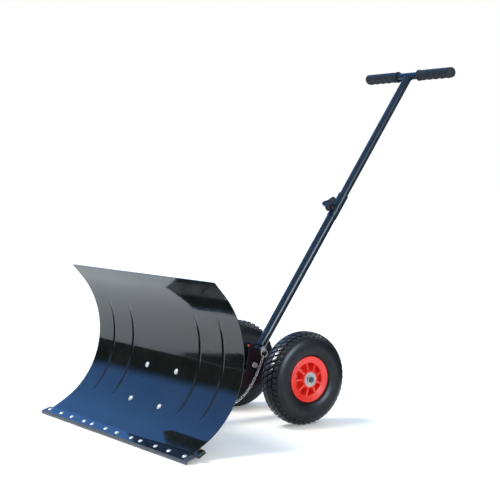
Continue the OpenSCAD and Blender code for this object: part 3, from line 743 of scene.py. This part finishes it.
def build_bracket_weld():
    """A bead round the foot of the pole's bracket, on top of the arm."""
    low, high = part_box("pole_bracket")
    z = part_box("arm")[1].z + 0.4 * MM
    back = low.y + BRACKET_BASE
    corners = [Vector((low.x, low.y, z)), Vector((high.x, low.y, z)),
               Vector((high.x, back, z)), Vector((low.x, back, z))]
    shape = Shape()
    weld_bead(shape, dense(corners, step=1.6 * MM), width=3.2 * MM, seed=2)
    shape.piece("weld_pole_bracket", "frame_paint", "chassis")


def build_axle_weld():
    """A bead round the arm's end, where it meets the axle tube."""
    axle = middle("axle_tube")
    arm_low, arm_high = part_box("arm")

    def on_axle(z):
        """The front of the axle tube at a height."""
        return axle.y - math.sqrt(max(0.0, AXLE_TUBE_R ** 2 - (z - axle.z) ** 2))

    z_low, z_high = axle.z - AXLE_TUBE_R * 0.98, arm_high.z
    side_line = [z_low + (z_high - z_low) * i / 16 for i in range(17)]
    path = [Vector((arm_low.x, on_axle(z), z)) for z in side_line]
    path += [Vector((x, on_axle(z_high), z_high)) for x in spaced(arm_low.x, arm_high.x, 20)]
    path += [Vector((arm_high.x, on_axle(z), z)) for z in reversed(side_line)]
    path += [Vector((x, on_axle(z_low), z_low)) for x in spaced(arm_high.x, arm_low.x, 20)]
    shape = Shape()
    weld_bead(shape, path, width=3.6 * MM, seed=3)
    shape.piece("weld_axle_tube", "frame_paint", "chassis")


def build_boss_weld():
    """Two beads round the back of the kingpin's boss, at the arm's top and bottom."""
    boss = middle("kingpin_boss")
    arm_low, arm_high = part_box("arm")
    shape = Shape()
    for z in (arm_low.z + 0.2 * MM, arm_high.z - 0.2 * MM):
        arc = [boss + Vector((BOSS_R * math.sin(a), BOSS_R * math.cos(a), z - boss.z))
               for a in (math.radians(-88 + 176 * i / 40) for i in range(41))]
        there_and_back = arc + [p + Vector((0, 0, 0.3 * MM)) for p in reversed(arc)]
        weld_bead(shape, there_and_back, width=2.6 * MM, seed=4)
    shape.piece("weld_kingpin_boss", "frame_paint", "chassis")


def build_collar_weld():
    """A bead round the lower tube, under the clamp's collar."""
    foot = pivot_point() + POLE_UP * COLLAR_AT
    ring = [foot + COLLAR_SEAM_R * (math.cos(a) * X_AXIS + math.sin(a) * POLE_FRONT)
            for a in turns(60)]
    shape = Shape()
    weld_bead(shape, ring, width=2.4 * MM, seed=5)
    shape.piece("weld_collar", "tube_paint", "pole")


def pivot_point():
    """The pole's pivot, on the middle plane."""
    at = middle("pivot_bolt")
    return Vector((0, at.y, at.z))


# -------------------------------------------------------------------- grips

# all in mm, along the grip from its inner end
FLANGE, FLANGE_R = 6, 17.2
FLANGE_ROUND, FLANGE_STEP = 1.6, 1.2                    # its rounded edge, its step to the body
GRIP_R, GRIP_SWELL = 15.4, 0.5
FINGER_PITCH, FINGERS_END = 27.2, 142
FINGER_HEIGHT, FINGER_ROOT = 2.6, 1.7                   # ridges, from a root inside GRIP_R
GRIP_END_ROUND = 5.0
GRIP_HOLE_R, GRIP_HOLE_DEPTH = 11.03, 20                # the mouth round the crossbar
GRIP_SIDES = 64


def grip_radius(s, below, length):
    """Radius at a place along the grip; below is 1 underneath and 0 on top."""
    if s < FLANGE:
        return (FLANGE_R - FLANGE_ROUND * (1 - smooth_step(0, 2, s))
                - FLANGE_STEP * smooth_step(4, FLANGE, s))
    turn = 2 * math.pi * (s - FLANGE) / FINGER_PITCH
    fingers = 0.5 - 0.5 * math.cos(turn) if s < FINGERS_END else 0.0
    radius = (GRIP_R + GRIP_SWELL * smooth_step(FLANGE, 30, s)
              + (FINGER_HEIGHT * fingers - FINGER_ROOT) * below)
    into_round = max(0.0, GRIP_END_ROUND - (length - s))
    return (radius - GRIP_END_ROUND
            + math.sqrt(max(0.0, GRIP_END_ROUND ** 2 - into_round ** 2)))


def build_grip(side, name):
    """Rubber grip: a thick inner end, a plain top, finger ridges underneath and a round end."""
    low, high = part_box(f"grip_{name}")
    length = (high.x - low.x) / MM
    inner_end = min(abs(low.x), abs(high.x))
    centre = middle(f"grip_{name}")

    def ring(s, inside=False):
        """Points round the grip at a place along it, on its outside or in its mouth."""
        at = Vector((side * (inner_end + s * MM), centre.y, centre.z))
        row = []
        for a in turns(GRIP_SIDES):
            below = max(0.0, math.cos(a)) ** 1.4
            radius = GRIP_HOLE_R if inside else grip_radius(s, below, length)
            row.append(at + (math.sin(a) * POLE_FRONT - math.cos(a) * POLE_UP) * radius * MM)
        return row

    stations = []
    s = 0.0
    while s < length - 0.2:
        stations.append(s)
        s += 0.6 if s < 7 or s > length - 6 else 1.6
    # the mouth comes first, then the outside, closed at the far end
    rows = [ring(s, inside=True) for s in (GRIP_HOLE_DEPTH, 0)]
    rows += [ring(s) for s in stations + [length]]
    shape = Shape()
    shape.tube(rows)
    return shape.piece(f"grip_{name}_rubber", "grip_rubber", "handle", [f"grip_{name}"], sharp=50)


# --------------------------------------------------------------------- knob

# in mm: up the pole from its pivot, and forward of its axis
KNOB_AT, KNOB_FOOT = 534, 20.4
KNOB_HUB_R, KNOB_WAIST_R, KNOB_LOBE = 11.0, 12.5, 14.3
HUB_SHARE = 0.45                                        # of the outline, where the hub ends
KNOB_SIDES = 96
# (share of the outline, height in mm) from the pole's side to the outer face
KNOB_LEVELS = [
    (0.42, 0.0), (0.44, 0.5), (0.45, 5.0), (0.50, 6.0), (0.90, 6.4), (0.97, 7.6), (1.0, 9.5),
    (1.0, 13.5), (0.97, 15.8), (0.90, 17.2), (0.80, 17.8), (0.55, 18.0), (0.36, 18.0), (0.33, 17.3),
]


def knob_radius(a, share):
    """Radius in mm at an angle from a lobe's middle, from the hub out to the full outline."""
    if share <= HUB_SHARE:
        return KNOB_HUB_R * share / HUB_SHARE
    outline = KNOB_WAIST_R + KNOB_LOBE * (0.5 + 0.5 * math.cos(3 * a)) ** 1.7
    blend = smooth_step(HUB_SHARE, 0.9, share)
    return outline * share * blend + (KNOB_HUB_R + 3 * (share - HUB_SHARE)) * (1 - blend)


def build_knob():
    """Three-lobed clamp knob on the front of the pole, its first lobe to the left."""
    foot = pivot_point() + (KNOB_AT * POLE_UP + KNOB_FOOT * POLE_FRONT) * MM
    rows = []
    for share, height in KNOB_LEVELS:
        row = []
        for a in turns(KNOB_SIDES):
            out = math.sin(a) * POLE_UP - math.cos(a) * X_AXIS
            row.append(foot + (height * POLE_FRONT + knob_radius(a, share) * out) * MM)
        rows.append(row)
    shape = Shape()
    shape.tube(rows)
    return shape.piece("clamp_knob", "knob_plastic", "knob", ["knob_body"], sharp=50)


# -------------------------------------------------------------------- chain

LINK_INNER = 10 * MM
LINK_WIRE = 2.2 * MM
LINK_WIDE = 8 * MM
LINKS = 30
LINK_PITCH = LINK_INNER - 0.3 * MM
CATENARY = 76 * MM                                      # radius of the curve at its low point
LOW_POINT_AHEAD, LOW_POINT_Z = 160.6 * MM, 47.6 * MM    # of the axle, and above the ground
FIRST_LINK = 185.3 * MM                                 # from the low point, along the chain
BEND_STEPS, WIRE_SIDES = 8, 10


def build_chain():
    """The retaining chain, link by link along its catenary."""
    ring = middle("chain_ring")
    low_point = Vector((ring.x, middle("axle_tube").y - LOW_POINT_AHEAD, LOW_POINT_Z))
    bend = (LINK_WIDE - LINK_WIRE) / 2
    straight = LINK_INNER + LINK_WIRE - 2 * bend
    shape = Shape()
    for i in range(LINKS):
        s = FIRST_LINK - i * LINK_PITCH
        y = CATENARY * math.asinh(s / CATENARY)
        z = CATENARY * (math.cosh(y / CATENARY) - 1)
        centre = low_point + Vector((0, y, z))
        slope = math.atan(s / CATENARY)
        run = Vector((0, math.cos(slope), math.sin(slope)))
        wide = X_AXIS if i % 2 == 0 else Vector((0, -math.sin(slope), math.cos(slope)))
        across = run.cross(wide)
        rows = []
        for end in (1, -1):                             # the wire turns round each end in turn
            for k in range(BEND_STEPS + 1):
                a = math.pi * k / BEND_STEPS - math.pi / 2
                normal = end * run * math.cos(a) + end * wide * math.sin(a)
                at = centre + end * run * straight / 2 + bend * normal
                rows.append([at + LINK_WIRE / 2 * (math.cos(b) * normal + math.sin(b) * across)
                             for b in turns(WIRE_SIDES)])
        shape.grid(rows, wrap_rows=True)
    chain = shape.piece("retaining_chain", "zinc", replaces=["chain"], sharp=60)
    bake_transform(chain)
    return chain


# ------------------------------------------------------------------- studio

FLOOR_HALF = 60.0
WHITE = (1, 1, 1)
COOL = (0.74, 0.88, 1)
AIM = (0, 0, 0.5)                                       # roughly the middle of the object
# (x, y) corners of two black cards on the floor: one in front, whose near edge ends the pale
# ground that the blade reflects, and one behind
CARD_FRONT = [(0.6, -0.7), (-0.16, -0.88), (-1.13, -1.31), (-3.6, -2.8), (-30, -20), (-30, -45),
              (6, -45)]
CARD_BACK = [(-4, 0.6), (1.4, 0.6), (6, 2), (6, 30), (-8, 30)]
CARD_HEIGHT = 2 * MM


def build_floor():
    """A plain pale floor."""
    f = Finish("floor")
    f.set(Base_Color=f.ramp(f.noise(1.5, 2), (0.3, (0.87, 0.86, 0.80)), (0.7, (0.89, 0.88, 0.82))),
          Roughness=0.9, Specular_IOR_Level=0.2, Emission_Color=(1, 1, 1, 1),
          Emission_Strength=0.25)
    half = FLOOR_HALF
    floor = flat_sheet("floor", [(-half, -half), (half, -half), (half, half), (-half, half)], 0, f)


def build_lights():
    """One broad soft key, and panels that shape the reflections."""
    key = bpy.data.lights.new("key", "SUN")
    key.energy = 2.6
    key.angle = math.radians(28)
    key.color = (1.0, 0.985, 0.96)
    lamp = bpy.data.objects.new("key", key)
    lamp.rotation_euler = Vector((-0.35, -0.62, 1.0)).to_track_quat("Z", "Y").to_euler()
    lamp.visible_glossy = False
    scene.collection.objects.link(lamp)

    fill = add_panel("fill", (3.2, -0.6, 2.6), (0, -0.2, 0.4), (2.0, 2.2), 45, WHITE)
    fill.visible_glossy = False
    for name, at, watts in (("wall", (2.95, 0.12, 1.25), 70), ("wall_top", (2.95, 0.65, 2.3), 10)):
        add_panel(name, at, AIM, (1.4, 1.1), watts, COOL).visible_diffuse = False
    add_panel("rim", (-1.2, 3.2, 2.6), AIM, (2.4, 1.6), 34, (0.95, 0.97, 1))
    for name, watts, lit in (("glint", 60, ("strip_bolts", "mount_bolts", "retaining_chain")),
                             ("tread_glint", 300, ("pneumatic_tyre",))):
        glint = add_panel(name, (-0.9, -1.9, 2.3), (0.1, 0, 0.15), (0.45, 0.45), watts, WHITE)
        glint.light_linking.receiver_collection = pieces_named(lit)


def pieces_named(starts):
    """A collection for light linking: the pieces whose names start in one of these ways."""
    pieces = bpy.data.collections.new("lit_" + starts[0])
    for thing in scene.objects:
        if thing.name.startswith(starts):
            pieces.objects.link(thing)
    return pieces


def flat_sheet(name, corners, z, finish):
    """A level polygon with a material of its own."""
    mesh = bpy.data.meshes.new(name)
    mesh.from_pydata([(x, y, z) for x, y in corners], [], [tuple(range(len(corners)))])
    mesh.materials.append(finish.material)
    sheet = bpy.data.objects.new(name, mesh)
    scene.collection.objects.link(sheet)
    return sheet


def add_card(name, corners):
    """Black card on the floor that shows only in reflections."""
    f = Finish(name)
    f.set(Base_Color=f.ramp(f.noise(2, 2), (0.3, (0.01, 0.01, 0.01)), (0.7, (0.014, 0.014, 0.014))),
          Roughness=1.0, Specular_IOR_Level=0.0)
    card = flat_sheet(name, corners, CARD_HEIGHT, f)
    for ray in ("camera", "diffuse", "transmission", "shadow"):
        setattr(card, f"visible_{ray}", False)


def add_panel(name, at, look_at, size, watts, colour):
    """A soft box that is never seen itself, only its light and its reflection."""
    light = bpy.data.lights.new(name, "AREA")
    light.shape = "RECTANGLE"
    light.size, light.size_y = size
    light.energy = watts
    light.color = colour
    lamp = bpy.data.objects.new(name, light)
    lamp.location = at
    lamp.rotation_euler = (Vector(at) - Vector(look_at)).to_track_quat("Z", "Y").to_euler()
    lamp.visible_camera = False
    scene.collection.objects.link(lamp)
    return lamp


def build_surround():
    """What the gloss reflects: dark at the horizon and cool above it; white to the camera."""
    world = bpy.data.worlds.new("studio")
    scene.world = world
    world.use_nodes = True
    nodes = Nodes(world.node_tree)
    nodes.tree.nodes.clear()
    direction = nodes.add("ShaderNodeTexCoord").outputs["Generated"]
    part = nodes.add("ShaderNodeSeparateXYZ", {"Vector": direction})

    def share(axis, start, end, most=1.0, kind="SMOOTHSTEP"):
        """0 where the direction's part along an axis is start, rising to most where it is end."""
        return nodes.add("ShaderNodeMapRange", {"Value": part.outputs[axis], "From Min": start,
                                                "From Max": end, "To Max": most},
                         interpolation_type=kind).outputs["Result"]

    sky = nodes.mix(share("X", -0.2, -0.6), (0.42, 0.50, 0.56), (0.20, 0.60, 1.60))
    horizon = nodes.mix(share("X", 0.7, 0.95), (0.020, 0.020, 0.022), (0.75, 0.85, 1.0))
    dimmed = nodes.mix(share("Y", 0.3, 0.8, 0.85, "LINEAR"), sky, (0.03, 0.035, 0.04))
    seen = nodes.mix(share("Z", 0.22, 0.34), horizon, dimmed)
    lit = nodes.add("ShaderNodeBackground", {"Color": seen})
    pale = nodes.add("ShaderNodeBackground", {"Color": (1.0, 1.0, 1.0, 1)})
    is_camera = nodes.add("ShaderNodeLightPath").outputs["Is Camera Ray"]
    both = nodes.add("ShaderNodeMixShader", {0: is_camera, 1: lit.outputs[0], 2: pale.outputs[0]})
    nodes.add("ShaderNodeOutputWorld", {"Surface": both.outputs[0]})


# ------------------------------------------------------------------- camera

CAMERA_AT = Vector((2.8069, -2.0807, 0.6873))
CAMERA_AZIMUTH, CAMERA_ELEVATION, CAMERA_ROLL = 54.5, 3.34, 0.18    # degrees
CAMERA_LENS, SENSOR = 87.71, 36                         # mm


def build_camera():
    """The camera, in front and to the right, a little above the level."""
    azimuth, elevation = math.radians(CAMERA_AZIMUTH), math.radians(CAMERA_ELEVATION)
    back = Vector((math.sin(azimuth) * math.cos(elevation),
                   -math.cos(azimuth) * math.cos(elevation), math.sin(elevation)))
    right = Vector((math.cos(azimuth), math.sin(azimuth), 0))
    up = back.cross(right)
    data = bpy.data.cameras.new("camera")
    data.lens = CAMERA_LENS
    data.sensor_width = SENSOR
    camera = bpy.data.objects.new("camera", data)
    roll = Matrix.Rotation(math.radians(CAMERA_ROLL), 3, "Z")
    turn = Matrix((right, up, back)).transposed() @ roll
    camera.matrix_world = Matrix.Translation(CAMERA_AT) @ turn.to_4x4()
    scene.collection.objects.link(camera)
    scene.camera = camera
    scene.view_settings.view_transform = "Standard"


# --------------------------------------------------------------- everything

build_camera()
finish_cad_nodes()
build_blade()
for side, name in ((-1, "left"), (1, "right")):
    build_tyre(side, name)
    build_rim(side, name, True, f"rim_outer_{name}")
    build_rim(side, name, False, f"rim_inner_{name}")
    build_grip(side, name)
build_crossbar_weld()
build_bracket_weld()
build_axle_weld()
build_boss_weld()
build_collar_weld()
build_knob()
build_chain()
build_floor()
build_lights()
add_card("card_front", CARD_FRONT)
add_card("card_back", CARD_BACK)
build_surround()
